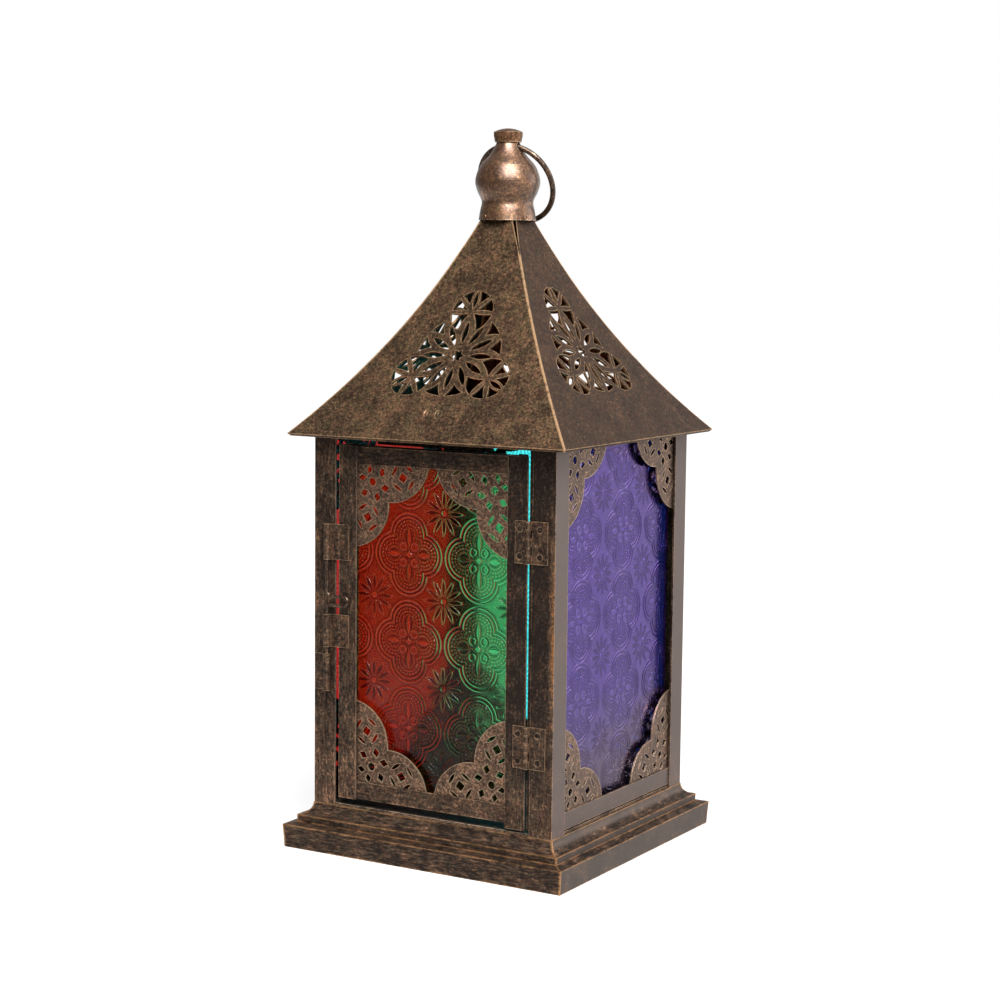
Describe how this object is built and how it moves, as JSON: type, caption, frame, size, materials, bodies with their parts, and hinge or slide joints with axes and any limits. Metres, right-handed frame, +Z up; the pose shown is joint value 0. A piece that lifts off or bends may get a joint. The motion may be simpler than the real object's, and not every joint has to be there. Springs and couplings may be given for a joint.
{
  "type": "ramadan fanous lantern",
  "caption": "Square metal lantern with coloured pressed-glass walls, a pierced hollow-swept hipped roof, a hinged glass door with a drop bolt, a spun finial and a carrying ring.",
  "frame": {"origin": "middle of the square foot, on the surface the lantern stands on", "axes": "+Z up, the door faces -Y, +X to the right seen from the door"},
  "size_m": [0.1336, 0.1336, 0.3001],
  "materials": {
    "base_metal": "dark brown antique paint with copper wear on the edges",
    "frame_metal": "dark brown antique paint with brushed copper streaks",
    "roof_metal": "dark brown antique paint with rubbed copper patches",
    "bracket_metal": "rubbed copper bronze with bright cut edges",
    "finial_metal": "brushed antique copper bronze, satin",
    "hardware_metal": "dark bronze with copper edges",
    "wire_metal": "dark bronze wire, rubbed bright on the turns",
    "amber_glass": "pressed quatrefoil glass, amber",
    "red_glass": "pressed quatrefoil glass, red",
    "violet_glass": "pressed quatrefoil glass, violet",
    "turquoise_glass": "pressed quatrefoil glass, turquoise"
  },
  "bodies": {
    "lantern": {"skirt_front": "base_metal", "skirt_right": "base_metal", "skirt_back": "base_metal", "skirt_left": "base_metal", "floor_plate": "base_metal", "post_front_right": "frame_metal", "post_back_right": "frame_metal", "post_back_left": "frame_metal", "post_front_left": "frame_metal", "rail_bottom_right": "frame_metal", "rail_bottom_back": "frame_metal", "rail_bottom_left": "frame_metal", "rail_top_front": "frame_metal", "rail_top_right": "frame_metal", "rail_top_back": "frame_metal", "rail_top_left": "frame_metal", "pane_right": "violet_glass", "pane_back": "turquoise_glass", "pane_left": "red_glass", "bracket_right_1": "bracket_metal", "bracket_right_2": "bracket_metal", "bracket_right_3": "bracket_metal", "bracket_right_4": "bracket_metal", "bracket_back_1": "bracket_metal", "bracket_back_2": "bracket_metal", "bracket_back_3": "bracket_metal", "bracket_back_4": "bracket_metal", "bracket_left_1": "bracket_metal", "bracket_left_2": "bracket_metal", "bracket_left_3": "bracket_metal", "bracket_left_4": "bracket_metal", "roof_front": "roof_metal", "roof_right": "roof_metal", "roof_back": "roof_metal", "roof_left": "roof_metal", "roof_crown": "roof_metal", "finial_bulb": "finial_metal", "finial_cap": "finial_metal", "hinge_upper_frame_leaf": "hardware_metal", "hinge_lower_frame_leaf": "hardware_metal", "hinge_pins": "wire_metal", "frame_rivets": "hardware_metal", "foot_rivets": "hardware_metal", "latch_keeper": "hardware_metal"},
    "door": {"door_stile_latch": "frame_metal", "door_stile_hinge": "frame_metal", "door_rail_bottom": "frame_metal", "door_rail_top": "frame_metal", "door_pane": "amber_glass", "bracket_door_1": "bracket_metal", "bracket_door_2": "bracket_metal", "bracket_door_3": "bracket_metal", "bracket_door_4": "bracket_metal", "hinge_upper_door_leaf": "hardware_metal", "hinge_lower_door_leaf": "hardware_metal", "latch_sleeve_upper": "hardware_metal", "latch_sleeve_lower": "hardware_metal", "door_rivets": "hardware_metal"},
    "bolt": {"latch_bolt": "wire_metal"},
    "ring": {"top_ring": "wire_metal"}
  },
  "joints": [
    {"name": "door_swing", "type": "hinge", "parent": "lantern", "child": "door", "pos_m": [0.04565, -0.0584, 0], "axis": [0, 0, 1], "range_deg": [0, 170]},
    {"name": "bolt_slide", "type": "slide", "parent": "door", "child": "bolt", "axis": [0, 0, 1], "range_m": [-0.0023, 0.0132]},
    {"name": "ring_swing", "type": "hinge", "parent": "lantern", "child": "ring", "pos_m": [0, 0, 0.2922], "axis": [1, 0, 0], "range_deg": [-2, 308]}
  ]
}
